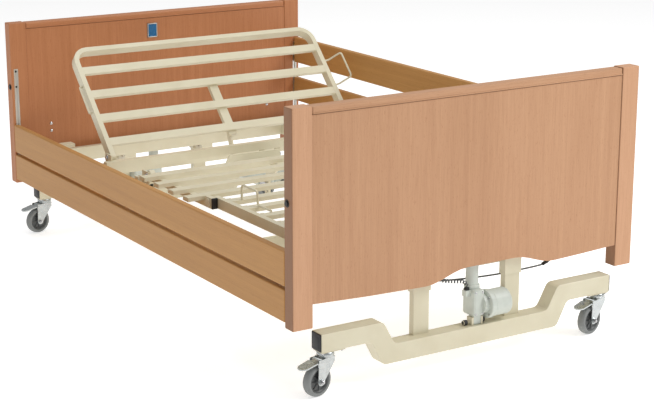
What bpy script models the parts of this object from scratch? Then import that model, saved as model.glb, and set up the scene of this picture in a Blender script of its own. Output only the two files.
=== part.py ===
"""Electric adjustable hospital bed: a slatted platform on a lifting frame, between wooden end boards.

Metres, +Z up. The origin is on the floor under the middle of the bed. -Y is the foot end, -X is
the left side. The two end assemblies are the same pieces turned half round about Z.
"""
import math
from collections import namedtuple

import bmesh
import bpy
from mathutils import Matrix, Vector

# ---------------------------------------------------------------- driving dimensions

BOARD_OUTER_Y = 1.102
POST_INNER_Y = 1.054
POST_OUTER_X = 0.665
POST_WIDTH = 0.070
POST_BOTTOM = 0.223
CAP_HEIGHT = 0.024
PANEL_BOTTOM = 0.282
PANEL_END_RISE = 0.016
ARCH_RISE = 0.038
ARCH_CENTRE_X = 0.075
ARCH_HALF_WIDTH = 0.175
ARCH_BLEND = 0.080
WOOD_BEVEL = 0.003
GAP = 0.0003

RAIL_THICKNESS = 0.024
RAIL_HALF_LENGTH = 1.0530
LOWER_RAIL = (0.239, 0.341)
UPPER_RAIL = (0.352, 0.4615)
UPPER_RAIL_TRAVEL = 0.243
LOWER_RAIL_RATIO = 0.77
TRACK_X = (0.6360, 0.6540)
TRACK_SLOT_X = 0.645
TRACK_Z = (0.250, 0.686)
TONGUE_HALF_HEIGHT = 0.025
BUTTON_Y = 1.072
BUTTON_Z = 0.613
BUTTON_RADIUS = 0.008

FRAME_X = (0.5475, 0.5725)
FRAME_Z = (0.292, 0.347)
END_TUBE_Y = (1.005, 1.030)
END_TUBE_HALF = 0.625
SLEEVE_WALL = 0.0035
SLEEVE_BOTTOM = 0.262
TOP_BAR_Z = (0.765, 0.795)

BEAM_Y = (1.054, 1.109)
BEAM_HALF = 0.569
BEAM_BOTTOM = 0.142
BEAM_TOP = 0.200
BEAM_LOW_BOTTOM = 0.060
BEAM_LOW_TOP = 0.121
BEAM_BEND = 0.014
COLUMN_X = (0.151, 0.209)
COLUMN_DEPTH = 0.024
COLUMN_TOP = 0.780

ROD_X = 0.030
ROD_RADIUS = 0.010
LIFT_TUBE_RADIUS = 0.0205
LIFT_TUBE_TOP = 0.690
MOTOR_RADIUS = 0.044
MOTOR_Y = 1.083
MOTOR_Z = 0.180
CLEVIS_PIN_Z = 0.130
GLAND_PLACE = (0.0, 1.070)

STEM_X = 0.539
STEM_Y = 1.0815
CASTOR_TRAIL = 0.036
CASTOR_HEADING = math.radians(192.0)
WHEEL_RADIUS = 0.050
WHEEL_WIDTH = 0.030
FORK_HALF_WIDTH = 0.0215
PEDAL_PIVOT = (0.037, 0.112)
PEDAL_SLOPE = math.radians(11.0)

PIVOT_Z = 0.437
BACK_PIVOT_Y = 0.430
THIGH_PIVOT_Y = 0.100
KNEE_OFFSET = 0.448
BACK_ANGLE = math.radians(46.0)
TUBE_WIDTH = 0.020
TUBE_HALF_HEIGHT = 0.018
SECTION_OUTER_X = 0.540
CALF_OUTER_X = 0.5185
BACK_LENGTH = 0.4875
BACK_CORNER = 0.065
THIGH_LENGTH = 0.470
CALF_LENGTH = 0.600
SLAT_WIDTH = 0.038
BACK_SLAT_WIDTH = 0.032
SLAT_Z = (0.003, 0.017)
THIGH_SLAT_HALF = 0.600
PIN_RADIUS = 0.006
PIN_CLEARANCE = 0.0003

LEVER_RADIUS = 0.100
LEVER_LEAN = math.radians(35.0)
LEVER_HALF_THICKNESS = 0.004
DRIVE_Z = PIVOT_Z - LEVER_RADIUS
DRIVE_TOP = 0.3515
BACK_LEVER_X = 0.0
KNEE_LEVER_X = -0.050
BACK_ROD_TRAVEL = 0.1108

End = namedtuple("End", "name side top panel_y column_y rod_y housing_y sleeve_top")
FOOT = End("foot", -1, 0.900, (1.081, 1.099), 1.0640, 1.0580, (1.0375, 1.1000), 0.840)
HEAD = End("head", 1, 0.868, (1.057, 1.075), 1.0925, 1.0975, (1.0600, 1.1200), 0.815)
SIDES = (("left", -1), ("right", 1))

# ---------------------------------------------------------------- scene and materials


def clear_scene():
    """Remove every object that is in the scene."""
    for thing in list(bpy.data.objects):
        bpy.data.objects.remove(thing, do_unlink=True)


def new_collection(name):
    """Make a collection under the scene's own."""
    collection = bpy.data.collections.new(name)
    bpy.context.scene.collection.children.link(collection)
    return collection


clear_scene()
PARTS = new_collection("hospital_bed")
WORK = new_collection("cutters")


def make_material(name, colour, roughness, metallic=0.0):
    """Make a Principled BSDF material."""
    material = bpy.data.materials.new(name)
    material.use_nodes = True
    shader = material.node_tree.nodes["Principled BSDF"]
    shader.inputs["Base Color"].default_value = (*colour, 1.0)
    shader.inputs["Roughness"].default_value = roughness
    shader.inputs["Metallic"].default_value = metallic
    return material


BEECH = make_material("beech", (0.47, 0.25, 0.13), 0.45)
CREAM = make_material("cream_paint", (0.74, 0.67, 0.50), 0.35)
ALUMINIUM = make_material("track_aluminium", (0.62, 0.60, 0.56), 0.35, 1.0)
ZINC = make_material("castor_zinc", (0.60, 0.62, 0.62), 0.35, 1.0)
GREY = make_material("actuator_grey", (0.50, 0.53, 0.50), 0.45)
STEEL = make_material("rod_steel", (0.65, 0.65, 0.66), 0.25, 1.0)
BLACK = make_material("black_plastic", (0.02, 0.02, 0.02), 0.5)
TYRE = make_material("grey_rubber", (0.20, 0.21, 0.20), 0.7)
CABLE = make_material("cable_grey", (0.10, 0.11, 0.11), 0.6)
BLUE = make_material("badge_blue", (0.03, 0.16, 0.33), 0.4)

# ---------------------------------------------------------------- shape helpers


def work_object(name, mesh):
    """Put a mesh in the working collection, where it is hidden from renders."""
    thing = bpy.data.objects.new(name, mesh)
    thing.hide_render = True
    thing.display_type = "WIRE"
    WORK.objects.link(thing)
    return thing


def mesh_from(bm, name):
    """Turn a bmesh into a mesh."""
    mesh = bpy.data.meshes.new(name)
    bm.to_mesh(mesh)
    bm.free()
    return mesh


def box(low, high):
    """A box between two opposite corners, in any order."""
    size = Vector([abs(b - a) for a, b in zip(low, high)])
    centre = Vector([(a + b) / 2 for a, b in zip(low, high)])
    bm = bmesh.new()
    bmesh.ops.create_cube(bm, size=1.0, matrix=Matrix.Translation(centre) @ Matrix.Diagonal(size).to_4x4())
    return work_object("box", mesh_from(bm, "box"))


def cylinder(start, end, radius, segments=24):
    """A round bar from one point to another."""
    start = Vector(start)
    along = Vector(end) - start
    turn = along.to_track_quat("Z", "Y").to_matrix().to_4x4()
    bm = bmesh.new()
    bmesh.ops.create_cone(
        bm, cap_ends=True, segments=segments, radius1=radius, radius2=radius, depth=along.length,
        matrix=Matrix.Translation(start + along / 2) @ turn)
    return work_object("cylinder", mesh_from(bm, "cylinder"))


def baked(thing):
    """Replace an object by a mesh object with its evaluated, welded shape in world space."""
    bpy.context.view_layer.update()
    depsgraph = bpy.context.evaluated_depsgraph_get()
    mesh = bpy.data.meshes.new_from_object(thing.evaluated_get(depsgraph))
    mesh.transform(thing.matrix_world)
    bm = bmesh.new()
    bm.from_mesh(mesh)
    bmesh.ops.remove_doubles(bm, verts=bm.verts, dist=1e-6)
    bm.to_mesh(mesh)
    bm.free()
    bpy.data.objects.remove(thing)
    return work_object("baked", mesh)


def plate(points, low, high, axis):
    """A flat outline given thickness: axis Z takes (x, y), Y takes (x, z) and X takes (y, z)."""
    curve = bpy.data.curves.new("outline", "CURVE")
    curve.dimensions = "2D"
    curve.fill_mode = "BOTH"
    curve.extrude = abs(high - low) / 2
    spline = curve.splines.new("POLY")
    spline.use_cyclic_u = True
    spline.points.add(len(points) - 1)
    for point, (u, v) in zip(spline.points, points):
        point.co = (u, v, 0.0, 1.0)
    turns = {
        "Z": Matrix.Identity(4),
        "Y": Matrix(((1, 0, 0, 0), (0, 0, -1, 0), (0, 1, 0, 0), (0, 0, 0, 1))),
        "X": Matrix(((0, 0, 1, 0), (1, 0, 0, 0), (0, 1, 0, 0), (0, 0, 0, 1))),
    }
    middle = {"Z": (0, 0, 1), "Y": (0, 1, 0), "X": (1, 0, 0)}[axis]
    thing = bpy.data.objects.new("outline", curve)
    WORK.objects.link(thing)
    thing.matrix_world = Matrix.Translation(Vector(middle) * (low + high) / 2) @ turns[axis]
    return baked(thing)


def combined(base, others, operation):
    """Join the other pieces to the base, or cut them from it, and use them up."""
    for other in others:
        modifier = base.modifiers.new(operation, "BOOLEAN")
        modifier.operation = operation
        modifier.solver = "EXACT"
        modifier.object = other
    result = baked(base)
    for other in others:
        bpy.data.objects.remove(other)
    return result


def union(pieces):
    """One body made of overlapping pieces."""
    return combined(pieces[0], pieces[1:], "UNION")


def cut(base, cutters):
    """The base with the cutters taken out of it."""
    return combined(base, cutters, "DIFFERENCE")


def bevelled(thing, width, segments=2):
    """Round an object's edges."""
    modifier = thing.modifiers.new("Bevel", "BEVEL")
    modifier.width = width
    modifier.segments = segments
    modifier.limit_method = "ANGLE"
    return baked(thing)


def turned(profile, segments):
    """A shape turned about Y. Profile points are (radius, distance along the axis), outer side down."""
    bm = bmesh.new()
    corners = [bm.verts.new((radius, 0.0, along)) for radius, along in profile]
    for first, second in zip(corners, corners[1:] + corners[:1]):
        bm.edges.new((first, second))
    thing = work_object("turned", mesh_from(bm, "turned"))
    screw = thing.modifiers.new("Screw", "SCREW")
    screw.steps = segments
    screw.render_steps = segments
    screw.merge_threshold = 0.0001
    thing.rotation_euler = (-math.pi / 2, 0.0, 0.0)
    return baked(thing)


def tube_curve(name, points, radius):
    """A wire or cable along points, as a curve object with filled caps."""
    curve = bpy.data.curves.new(name, "CURVE")
    curve.dimensions = "3D"
    curve.bevel_depth = radius
    curve.bevel_resolution = 2
    curve.use_fill_caps = True
    spline = curve.splines.new("POLY")
    spline.points.add(len(points) - 1)
    for point, place in zip(spline.points, points):
        point.co = (*place, 1.0)
    thing = bpy.data.objects.new(name, curve)
    WORK.objects.link(thing)
    return thing


def smooth_route(knots, steps):
    """Points along a Catmull-Rom curve through the knots."""
    knots = [Vector(knot) for knot in knots]
    padded = [2 * knots[0] - knots[1]] + knots + [2 * knots[-1] - knots[-2]]
    points = []
    for before, first, second, after in zip(padded, padded[1:], padded[2:], padded[3:]):
        for step in range(steps):
            t = step / steps
            points.append(0.5 * (
                2 * first + (second - before) * t
                + (2 * before - 5 * first + 4 * second - after) * t ** 2
                + (3 * first - before - 3 * second + after) * t ** 3))
    points.append(knots[-1])
    return points


def arc_points(centre, radius, start, end, count):
    """Points on an arc, with its angles in degrees."""
    points = []
    for step in range(count + 1):
        angle = math.radians(start + (end - start) * step / count)
        points.append((centre[0] + radius * math.cos(angle), centre[1] + radius * math.sin(angle)))
    return points


def joint_frame(name, place, parent=None):
    """An empty on a joint's axis, which carries the pieces that move with it."""
    empty = bpy.data.objects.new(name, None)
    empty.empty_display_size = 0.05
    PARTS.objects.link(empty)
    empty.location = place
    hang_on(empty, parent)
    return empty


def hang_on(thing, parent):
    """Parent an object and leave it where it is."""
    if parent is None:
        return
    bpy.context.view_layer.update()
    thing.parent = parent
    thing.matrix_parent_inverse = parent.matrix_world.inverted()


def finish(thing, name, material, parent, origin=(0.0, 0.0, 0.0), smooth=False):
    """Name a shape, give it its material and origin, and move it to the bed's collection."""
    WORK.objects.unlink(thing)
    PARTS.objects.link(thing)
    thing.hide_render = False
    thing.display_type = "TEXTURED"
    thing.name = name
    thing.data.name = name
    thing.data.materials.clear()
    thing.data.materials.append(material)
    if thing.type == "MESH":
        thing.data.transform(Matrix.Translation(-Vector(origin)))
        thing.location = origin
    if smooth:
        thing.data.shade_smooth()
        thing.data.set_sharp_from_angle(angle=math.radians(35.0))
    hang_on(thing, parent)
    return thing


def at(end, x, y, z):
    """A point of an end assembly. The head end is the foot end turned half round."""
    return (-end.side * x, end.side * y, z)


def end_box(end, low, high):
    """A box in an end assembly's own terms."""
    return box(at(end, *low), at(end, *high))


def mirrored_boxes(x_range, y_range, z_range):
    """The same box on the left and on the right."""
    return [
        box((side * x_range[0], y_range[0], z_range[0]), (side * x_range[1], y_range[1], z_range[1]))
        for _, side in SIDES]


# ---------------------------------------------------------------- end boards


def panel_edge(x):
    """Height of a panel's lower edge: low at both sides, with a shallow arch off the middle."""
    distance = abs(x - ARCH_CENTRE_X)
    blend = min(max((ARCH_HALF_WIDTH + ARCH_BLEND - distance) / (2 * ARCH_BLEND), 0.0), 1.0)
    ease = blend * blend * (3 - 2 * blend)
    return PANEL_BOTTOM + PANEL_END_RISE * (x / (POST_OUTER_X - POST_WIDTH)) ** 2 + ARCH_RISE * ease


def make_panel(end, carrier):
    """The board between the posts, with its shaped lower edge."""
    half = POST_OUTER_X - POST_WIDTH - GAP
    blend_steps = [ARCH_CENTRE_X + side * (ARCH_HALF_WIDTH + ARCH_BLEND * step / 3)
                   for side in (-1, 1) for step in (-3, -2, -1, 0, 1, 2, 3)]
    xs = sorted([-half, -0.40, half, 0.45] + blend_steps)
    top = end.top - CAP_HEIGHT - 0.002 - GAP
    edge = [(-end.side * x, panel_edge(x)) for x in xs]
    points = edge + [(-end.side * half, top), (end.side * half, top)]
    low, high = sorted(end.side * y for y in end.panel_y)
    finish(plate(points, low, high, "Y"), f"panel_{end.name}", BEECH, carrier)


def make_posts(end, carrier):
    """Two posts, each grooved for its rail track and drilled for its release button."""
    for side_name, side in SIDES:
        post = box((side * (POST_OUTER_X - POST_WIDTH), end.side * POST_INNER_Y, POST_BOTTOM),
                   (side * POST_OUTER_X, end.side * BOARD_OUTER_Y, end.top))
        post = bevelled(post, WOOD_BEVEL)
        groove = box((side * (TRACK_X[0] - GAP), end.side * (POST_INNER_Y - 0.01), TRACK_Z[0] - GAP),
                     (side * (TRACK_X[1] + GAP), end.side * (POST_INNER_Y + 0.0083), TRACK_Z[1] + GAP))
        hole = cylinder((side * 0.650, end.side * BUTTON_Y, BUTTON_Z),
                        (side * 0.680, end.side * BUTTON_Y, BUTTON_Z), BUTTON_RADIUS + GAP)
        post = cut(post, [groove, hole])
        finish(post, f"post_{end.name}_{side_name}", BEECH, carrier)


def make_cap(end, carrier):
    """The moulding along a board's top."""
    half = POST_OUTER_X - POST_WIDTH - GAP
    low = (-half, end.side * 1.0565, end.top - CAP_HEIGHT - 0.002)
    high = (half, end.side * 1.1005, end.top - 0.002)
    finish(bevelled(box(low, high), 0.005), f"cap_{end.name}", BEECH, carrier)


def make_tracks(end, carrier):
    """The slotted metal channels that the side rails' tongues run in."""
    for side_name, side in SIDES:
        channel = box((side * TRACK_X[0], end.side * (POST_INNER_Y + 0.0005), TRACK_Z[0]),
                      (side * TRACK_X[1], end.side * (POST_INNER_Y + 0.008), TRACK_Z[1]))
        slot = box((side * (TRACK_SLOT_X - 0.0047), end.side * (POST_INNER_Y - 0.01), TRACK_Z[0] - 0.01),
                   (side * (TRACK_SLOT_X + 0.0047), end.side * (POST_INNER_Y + 0.0065), TRACK_Z[1] - 0.006))
        finish(cut(channel, [slot]), f"track_{end.name}_{side_name}", ALUMINIUM, carrier)


def make_buttons(end, carrier):
    """The push buttons that free a side rail."""
    for side_name, side in SIDES:
        centre = (side * 0.6630, end.side * BUTTON_Y, BUTTON_Z)
        button = cylinder((side * 0.6570, centre[1], centre[2]), (side * 0.6695, centre[1], centre[2]),
                          BUTTON_RADIUS)
        finish(button, f"button_{end.name}_{side_name}", BLACK, carrier, centre, smooth=True)


def make_badge(carrier):
    """The plain badge on the headboard."""
    badge = box((-0.062, 1.0545, 0.762), (-0.018, 1.0567, 0.820))
    finish(badge, "badge", BLUE, carrier)


def make_side_rails(carrier):
    """Four sliding wooden rails: down on the left, up on the right."""
    for side_name, side in SIDES:
        raised = side > 0
        for level, (low, high), travel in (
                ("lower", LOWER_RAIL, UPPER_RAIL_TRAVEL * LOWER_RAIL_RATIO),
                ("upper", UPPER_RAIL, UPPER_RAIL_TRAVEL)):
            lift = travel if raised else 0.0
            board = box((side * (POST_OUTER_X - RAIL_THICKNESS), -RAIL_HALF_LENGTH, low + lift),
                        (side * POST_OUTER_X, RAIL_HALF_LENGTH, high + lift))
            board = bevelled(board, 0.004)
            middle = (low + high) / 2 + lift
            tongues = [
                box((side * (TRACK_SLOT_X - 0.0025), end_side * (RAIL_HALF_LENGTH - 0.002),
                     middle - TONGUE_HALF_HEIGHT),
                    (side * (TRACK_SLOT_X + 0.0025), end_side * (POST_INNER_Y + 0.0055),
                     middle + TONGUE_HALF_HEIGHT))
                for end_side in (-1, 1)]
            rail = union([board] + tongues)
            finish(rail, f"rail_{level}_{side_name}", BEECH, carrier,
                   (side * (POST_OUTER_X - RAIL_THICKNESS / 2), 0.0, middle))


# ---------------------------------------------------------------- lifting ends


def beam_outline():
    """A castor beam seen from the end of the bed: raised ends, rounded slants and a low middle."""
    low = rounded_route([(0.0, BEAM_LOW_BOTTOM), (0.345, BEAM_LOW_BOTTOM), (0.388, BEAM_BOTTOM),
                         (BEAM_HALF, BEAM_BOTTOM)], BEAM_BEND)
    high = rounded_route([(BEAM_HALF, BEAM_TOP), (0.345, BEAM_TOP), (0.301, BEAM_LOW_TOP),
                          (0.0, BEAM_LOW_TOP)], BEAM_BEND)
    right = [tuple(point) for point in low[1:] + high[:-1]]
    return right + [(-x, z) for x, z in reversed(right)]


def make_castor_beam(end, parent):
    """One undercarriage: the beam, its two columns, the castor plates and the actuator's clevis."""
    low, high = sorted(end.side * y for y in BEAM_Y)
    pieces = [bevelled(plate(beam_outline(), low, high, "Y"), 0.002, 1)]
    pieces += [end_box(end, (side * 0.482, 1.0565, BEAM_BOTTOM - 0.004),
                       (side * 0.567, 1.1065, BEAM_BOTTOM + 0.0005)) for _, side in SIDES]
    stems = [cylinder(at(end, side * STEM_X, STEM_Y, 0.130), at(end, side * STEM_X, STEM_Y, 0.153),
                      PIN_RADIUS + 0.0005, 16) for _, side in SIDES]
    pieces = [cut(union(pieces), stems)]
    for _, side in SIDES:
        pieces.append(end_box(end, (side * COLUMN_X[0], end.column_y - COLUMN_DEPTH / 2, 0.110),
                              (side * COLUMN_X[1], end.column_y + COLUMN_DEPTH / 2, COLUMN_TOP)))
    for near, far in ((0.004, 0.0117), (0.0403, 0.048)):
        pieces.append(end_box(end, (near, 1.070, 0.120), (far, 1.097, 0.1465)))
    for near, far, radius in ((-0.016, 0.058, 0.0045), (-0.022, -0.008, 0.008), (0.0475, 0.061, 0.008)):
        pieces.append(cylinder(at(end, near, 1.0835, CLEVIS_PIN_Z), at(end, far, 1.0835, CLEVIS_PIN_Z),
                               radius, 16))
    finish(union(pieces), f"castor_beam_{end.name}", CREAM, parent)


def make_lift_motor(end, parent):
    """A vertical actuator: outer tube, gear housing and motor, on the beam's clevis."""
    near, far = end.housing_y
    housing = bevelled(end_box(end, (0.008, near, 0.147), (0.052, far, 0.236)), 0.008)
    tube = cylinder(at(end, ROD_X, end.rod_y, 0.155), at(end, ROD_X, end.rod_y, LIFT_TUBE_TOP),
                    LIFT_TUBE_RADIUS)
    neck = cylinder(at(end, 0.045, MOTOR_Y, MOTOR_Z + 0.004), at(end, 0.070, MOTOR_Y, MOTOR_Z + 0.004), 0.032)
    mount = bevelled(cylinder(at(end, 0.0620, MOTOR_Y, MOTOR_Z), at(end, 0.081, MOTOR_Y, MOTOR_Z),
                              MOTOR_RADIUS + 0.003, 32), 0.003)
    motor = bevelled(cylinder(at(end, 0.075, MOTOR_Y, MOTOR_Z), at(end, 0.1455, MOTOR_Y, MOTOR_Z),
                              MOTOR_RADIUS, 32), 0.005)
    eye = end_box(end, (0.012, 1.0715, 0.1225), (0.040, 1.0955, 0.150))
    pieces = [housing, tube, neck, mount, motor, eye]
    if end is FOOT:
        gland_x, gland_y = GLAND_PLACE
        pieces.append(end_box(end, (gland_x - 0.010, gland_y - 0.010, 0.214),
                              (0.012, gland_y + 0.010, 0.234)))
        pieces.append(cylinder(at(end, gland_x, gland_y, 0.230), at(end, gland_x, gland_y, 0.240), 0.008, 16))
    body = union(pieces)
    bore = cylinder(at(end, ROD_X, end.rod_y, 0.200), at(end, ROD_X, end.rod_y, LIFT_TUBE_TOP + 0.01),
                    ROD_RADIUS + 0.0015)
    eye_hole = cylinder(at(end, 0.0, 1.0835, CLEVIS_PIN_Z), at(end, 0.05, 1.0835, CLEVIS_PIN_Z), 0.0049, 16)
    finish(cut(body, [bore, eye_hole]), f"lift_motor_{end.name}", GREY, parent, smooth=True)


def make_frame_end(end, carrier):
    """An end of the main frame: cross tube, guide sleeves, top bar and the actuator's rod."""
    near, far = END_TUBE_Y
    pieces = [end_box(end, (-END_TUBE_HALF, near, FRAME_Z[0]), (END_TUBE_HALF, far, FRAME_Z[1]))]
    sleeve_near = end.column_y - COLUMN_DEPTH / 2 - SLEEVE_WALL
    sleeve_far = end.column_y + COLUMN_DEPTH / 2 + SLEEVE_WALL
    for _, side in SIDES:
        pieces.append(end_box(end, (side * 0.600, far - 0.001, FRAME_Z[0] + 0.005),
                              (side * END_TUBE_HALF, POST_INNER_Y - GAP, FRAME_Z[1] - 0.005)))
        if end is FOOT:
            pieces.append(end_box(end, (side * 0.155, far - 0.001, FRAME_Z[0] + 0.005),
                                  (side * 0.205, sleeve_near + 0.0015, FRAME_Z[1] - 0.005)))
        else:
            pieces.append(end_box(end, (side * 0.155, near + 0.001, SLEEVE_BOTTOM),
                                  (side * 0.205, far - 0.001, FRAME_Z[0] + 0.001)))
            pieces.append(end_box(end, (side * 0.155, near + 0.001, SLEEVE_BOTTOM),
                                  (side * 0.205, sleeve_near + 0.0015, SLEEVE_BOTTOM + 0.017)))
        pieces.append(end_box(end, (side * (COLUMN_X[0] - 0.004), sleeve_near, SLEEVE_BOTTOM - 0.0005),
                              (side * (COLUMN_X[1] + 0.004), sleeve_far, end.sleeve_top)))
    pieces.append(end_box(end, (-COLUMN_X[0] + 0.002, sleeve_near + 0.0005, TOP_BAR_Z[0]),
                          (COLUMN_X[0] - 0.002, sleeve_far - 0.0005, TOP_BAR_Z[1])))
    pieces.append(cylinder(at(end, ROD_X, end.rod_y, 0.270), at(end, ROD_X, end.rod_y, TOP_BAR_Z[0] + 0.005),
                           ROD_RADIUS))
    if end is FOOT:
        pieces.append(cylinder(at(end, -0.125, far - 0.001, 0.316), at(end, -0.125, 1.040, 0.316), 0.009, 16))
        pieces.append(cylinder(at(end, -0.100, 1.0175, FRAME_Z[0] + 0.001), at(end, -0.100, 1.0175, 0.284),
                               0.007, 16))
        pieces.append(cylinder(at(end, 0.400, 1.0175, FRAME_Z[0] + 0.001), at(end, 0.400, 1.0175, 0.284),
                               0.007, 16))
    frame_end = union(pieces)
    bores = [end_box(end, (side * (COLUMN_X[0] - 0.0005), end.column_y - COLUMN_DEPTH / 2 - 0.0005,
                           SLEEVE_BOTTOM - 0.02),
                     (side * (COLUMN_X[1] + 0.0005), end.column_y + COLUMN_DEPTH / 2 + 0.0005,
                      end.sleeve_top + 0.02)) for _, side in SIDES]
    return finish(cut(frame_end, bores), f"frame_end_{end.name}", CREAM, carrier)


def turned_wheel():
    """A castor wheel with rounded tyre shoulders and dished hub faces, about Y."""
    half = WHEEL_WIDTH / 2
    profile = [
        (0.0058, half), (0.012, half), (0.014, half - 0.004), (0.036, half - 0.004), (0.038, half),
        (WHEEL_RADIUS - 0.005, half), (WHEEL_RADIUS - 0.0015, half - 0.003), (WHEEL_RADIUS, half - 0.008)]
    return turned(profile + [(radius, -along) for radius, along in reversed(profile)], 28)


def make_castor(end, side_name, side, parent):
    """A swivel castor: fork, wheel and brake pedal, trailing towards the left."""
    corner = f"{end.name}_{side_name}"
    floor_point = Vector((side * STEM_X, end.side * STEM_Y, 0.0))
    swivel = joint_frame(f"castor_{corner}_swivel", floor_point, parent)
    turn = Matrix.Translation(floor_point) @ Matrix.Rotation(CASTOR_HEADING, 4, "Z")
    cheek = [(-0.020, 0.120), (0.046, 0.120), (0.047, 0.104)]
    cheek += arc_points((CASTOR_TRAIL, WHEEL_RADIUS), 0.013, 0, -180, 6) + [(-0.020, 0.106)]
    pieces = [box((-0.021, -FORK_HALF_WIDTH - 0.0005, 0.1165), (0.024, FORK_HALF_WIDTH + 0.0005, 0.1215))]
    for _, face in SIDES:
        pieces.append(plate(cheek, face * (FORK_HALF_WIDTH - 0.003), face * FORK_HALF_WIDTH, "Y"))
        pieces.append(cylinder((CASTOR_TRAIL, face * (FORK_HALF_WIDTH - 0.001), WHEEL_RADIUS),
                               (CASTOR_TRAIL, face * (FORK_HALF_WIDTH + 0.004), WHEEL_RADIUS), 0.009, 12))
    pieces.append(cylinder((CASTOR_TRAIL, -0.0225, WHEEL_RADIUS), (CASTOR_TRAIL, 0.0225, WHEEL_RADIUS),
                           0.0055, 16))
    pieces.append(cylinder((PEDAL_PIVOT[0], -0.020, PEDAL_PIVOT[1]), (PEDAL_PIVOT[0], 0.020, PEDAL_PIVOT[1]),
                           0.0025, 12))
    pieces.append(cylinder((0, 0, 0.121), (0, 0, 0.1377), 0.024, 24))
    pieces.append(cylinder((0, 0, 0.137), (0, 0, 0.152), PIN_RADIUS, 16))
    fork = union(pieces)
    fork.data.transform(turn)
    finish(fork, f"castor_{corner}_fork", ZINC, swivel, floor_point, smooth=True)

    wheel = turned_wheel()
    wheel.data.transform(turn @ Matrix.Translation((CASTOR_TRAIL, 0.0, WHEEL_RADIUS)))
    finish(wheel, f"castor_{corner}_wheel", TYRE, swivel, turn @ Vector((CASTOR_TRAIL, 0.0, WHEEL_RADIUS)),
           smooth=True)

    pedal = union([
        cylinder((0.0, -0.0165, 0.0), (0.0, 0.0165, 0.0), 0.006, 16),
        box((0.0, -0.0165, 0.0), (0.018, 0.0165, 0.0045)),
        plate([(0.014, -0.022), (0.058, -0.020), (0.069, -0.012), (0.072, 0.0), (0.069, 0.012),
               (0.058, 0.020), (0.014, 0.022)], 0.0005, 0.0050, "Z")])
    pedal = cut(pedal, [cylinder((0.0, -0.03, 0.0), (0.0, 0.03, 0.0), 0.0028, 12)])
    pedal.data.transform(Matrix.Rotation(PEDAL_SLOPE, 4, "Y"))
    pedal.data.transform(Matrix.Translation((PEDAL_PIVOT[0], 0.0, PEDAL_PIVOT[1])))
    pedal.data.transform(turn)
    pivot = turn @ Vector((PEDAL_PIVOT[0], 0.0, PEDAL_PIVOT[1]))
    finish(pedal, f"castor_{corner}_pedal", ZINC, swivel, pivot)


# ---------------------------------------------------------------- main frame and seat


def make_frame_sides(carrier):
    """The long tubes, with the ledges that the flat backrest and the calf section come to rest on."""
    for side_name, side in SIDES:
        pieces = [box((side * FRAME_X[0], -END_TUBE_Y[0] + GAP, FRAME_Z[0]),
                      (side * FRAME_X[1], END_TUBE_Y[0] - GAP, FRAME_Z[1]))]
        for near, far, inner_x, top in ((0.800, 0.840, 0.515, 0.4165), (-0.940, -0.870, 0.495, 0.4135)):
            pieces.append(box((side * (FRAME_X[0] + 0.0005), near, FRAME_Z[1] - 0.001),
                              (side * (FRAME_X[1] - 0.0005), far, top - 0.001)))
            pieces.append(box((side * inner_x, near - 0.0005, top - 0.013),
                              (side * FRAME_X[1], far + 0.0005, top)))
        finish(union(pieces), f"frame_side_{side_name}", CREAM, carrier)


def make_cross_tubes(carrier):
    """Two tubes across the frame, under the backrest and under the calf section."""
    half = FRAME_X[0] - GAP
    for name, near in (("back", 0.700), ("calf", -0.550)):
        tube = box((-half, near, FRAME_Z[0] + 0.005), (half, near + 0.025, FRAME_Z[1] - 0.005))
        finish(tube, f"frame_cross_{name}", CREAM, carrier)


def make_seat_frame(carrier):
    """The fixed seat: two bearers on risers, hinge lugs with pins, drive hangers and a plate."""
    bearer_z = (0.398, 0.430)
    pieces = []
    for near, far in ((0.122, 0.147), (0.383, 0.408)):
        pieces.append(box((-FRAME_X[1], near, bearer_z[0]), (FRAME_X[1], far, bearer_z[1])))
        pieces += mirrored_boxes((FRAME_X[0] + 0.001, FRAME_X[1] - 0.001), (near + 0.001, far - 0.001),
                                 (FRAME_Z[1] + GAP, bearer_z[0] + 0.001))
    for near, far in ((0.090, 0.110), (0.160, 0.180)):
        pieces.append(box((near, 0.123, DRIVE_TOP + 0.0005), (far, 0.407, DRIVE_TOP + 0.0085)))
        pieces += [box((near, low, DRIVE_TOP + 0.0005), (far, low + 0.008, bearer_z[0] + 0.001))
                   for low in (0.1235, 0.3985)]
    pieces.append(plate([(-0.100, 0.415), (0.120, 0.413), (0.122, DRIVE_TOP + 0.0010), (-0.126, 0.366)],
                        0.300, 0.304, "Y"))
    for pivot_y, near, far in ((BACK_PIVOT_Y, 0.395, 0.446), (THIGH_PIVOT_Y, 0.084, 0.135)):
        pieces += mirrored_boxes((0.5425, 0.5485), (near, far), (0.4055, 0.452))
        pieces += [cylinder((side * 0.519, pivot_y, PIVOT_Z), (side * 0.5445, pivot_y, PIVOT_Z), PIN_RADIUS)
                   for _, side in SIDES]
    finish(union(pieces), "seat_frame", CREAM, carrier)


def make_drive(carrier):
    """The platform drive under the seat: a motor box and two guide tubes."""
    guide_radius = 0.016
    housing = bevelled(box((0.022, 0.160, 0.298), (0.190, 0.360, DRIVE_TOP)), 0.006)
    link = box((KNEE_LEVER_X, 0.190, DRIVE_Z - 0.0125), (0.030, 0.270, DRIVE_Z + 0.0125))
    guides = [cylinder((BACK_LEVER_X, 0.165, DRIVE_Z), (BACK_LEVER_X, 0.312, DRIVE_Z), guide_radius),
              cylinder((KNEE_LEVER_X, 0.145, DRIVE_Z), (KNEE_LEVER_X, 0.295, DRIVE_Z), guide_radius)]
    bores = [cylinder((x, 0.10, DRIVE_Z), (x, 0.36, DRIVE_Z), 0.0085) for x in (BACK_LEVER_X, KNEE_LEVER_X)]
    finish(cut(union([housing, link] + guides), bores), "platform_drive", GREY, carrier, smooth=True)


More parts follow.
